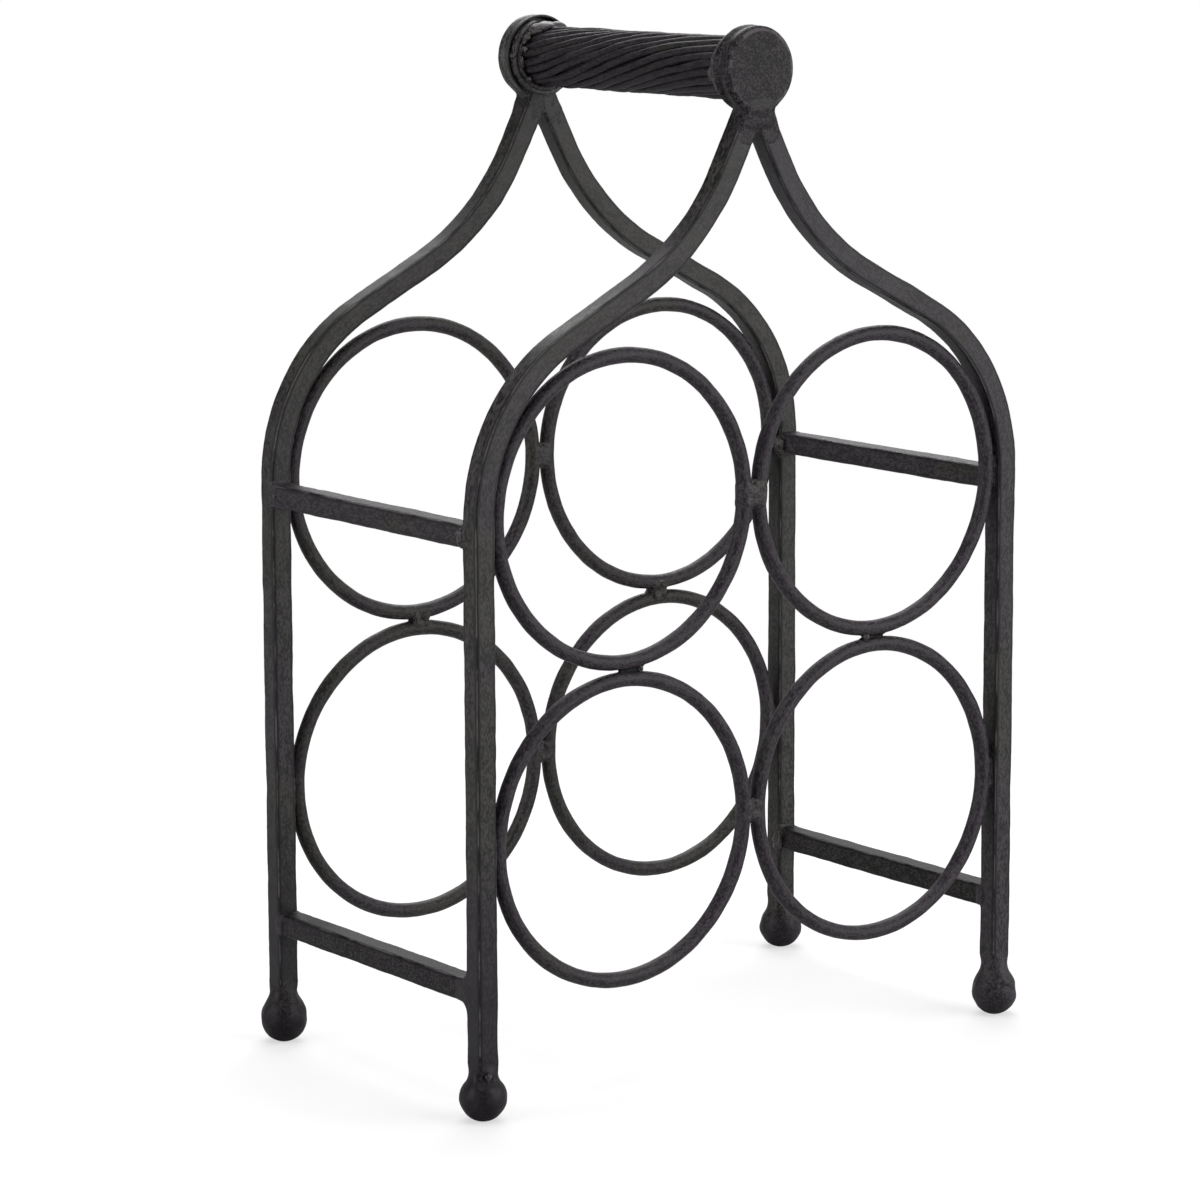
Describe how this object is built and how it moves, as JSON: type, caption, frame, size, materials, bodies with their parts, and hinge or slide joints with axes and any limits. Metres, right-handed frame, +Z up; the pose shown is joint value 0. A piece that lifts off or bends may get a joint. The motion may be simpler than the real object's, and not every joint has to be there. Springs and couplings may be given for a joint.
{
  "type": "wine rack",
  "caption": "Free-standing iron rack: two bottle-shaped frames of square bar with round wire rings that hold bottles lying down, ball feet and a twisted wire carrying handle.",
  "frame": {"origin": "on the floor, under the middle of the rack", "axes": "+X to the right across the bottle outline, +Y from the front frame to the back frame along the bottles, +Z up"},
  "size_m": [0.2414, 0.1396, 0.3581],
  "materials": {
    "painted_iron": "satin black paint on hand-finished iron, faintly mottled grey and brown, rubbed lighter on edges and welds"
  },
  "bodies": {
    "root": {"frame_bar_front_left": "painted_iron", "frame_bar_front_right": "painted_iron", "frame_bar_back_left": "painted_iron", "frame_bar_back_right": "painted_iron", "foot_front_left": "painted_iron", "foot_front_right": "painted_iron", "foot_back_left": "painted_iron", "foot_back_right": "painted_iron", "ring_front_upper_left": "painted_iron", "ring_front_upper_right": "painted_iron", "ring_front_lower_left": "painted_iron", "ring_front_lower_right": "painted_iron", "ring_back_upper_left": "painted_iron", "ring_back_upper_right": "painted_iron", "ring_back_lower_left": "painted_iron", "ring_back_lower_right": "painted_iron", "cross_bar_left_upper": "painted_iron", "cross_bar_left_lower": "painted_iron", "cross_bar_right_upper": "painted_iron", "cross_bar_right_lower": "painted_iron", "end_cap_front": "painted_iron", "end_cap_back": "painted_iron", "collar_front": "painted_iron", "collar_back": "painted_iron", "handle_core": "painted_iron", "handle_strand_01": "painted_iron", "handle_strand_02": "painted_iron", "handle_strand_03": "painted_iron", "handle_strand_04": "painted_iron", "handle_strand_05": "painted_iron", "handle_strand_06": "painted_iron", "handle_strand_07": "painted_iron", "handle_strand_08": "painted_iron", "handle_strand_09": "painted_iron", "handle_strand_10": "painted_iron", "handle_strand_11": "painted_iron", "handle_strand_12": "painted_iron", "handle_strand_13": "painted_iron", "handle_strand_14": "painted_iron", "handle_strand_15": "painted_iron", "handle_strand_16": "painted_iron", "handle_strand_17": "painted_iron", "handle_strand_18": "painted_iron", "handle_strand_19": "painted_iron", "handle_strand_20": "painted_iron", "handle_strand_21": "painted_iron", "ring_weld_front_upper": "painted_iron", "ring_weld_front_lower": "painted_iron", "ring_weld_front_left": "painted_iron", "ring_weld_front_right": "painted_iron", "ring_weld_back_upper": "painted_iron", "ring_weld_back_lower": "painted_iron", "ring_weld_back_left": "painted_iron", "ring_weld_back_right": "painted_iron", "neck_weld_front": "painted_iron", "neck_weld_back": "painted_iron"}
  },
  "joints": []
}
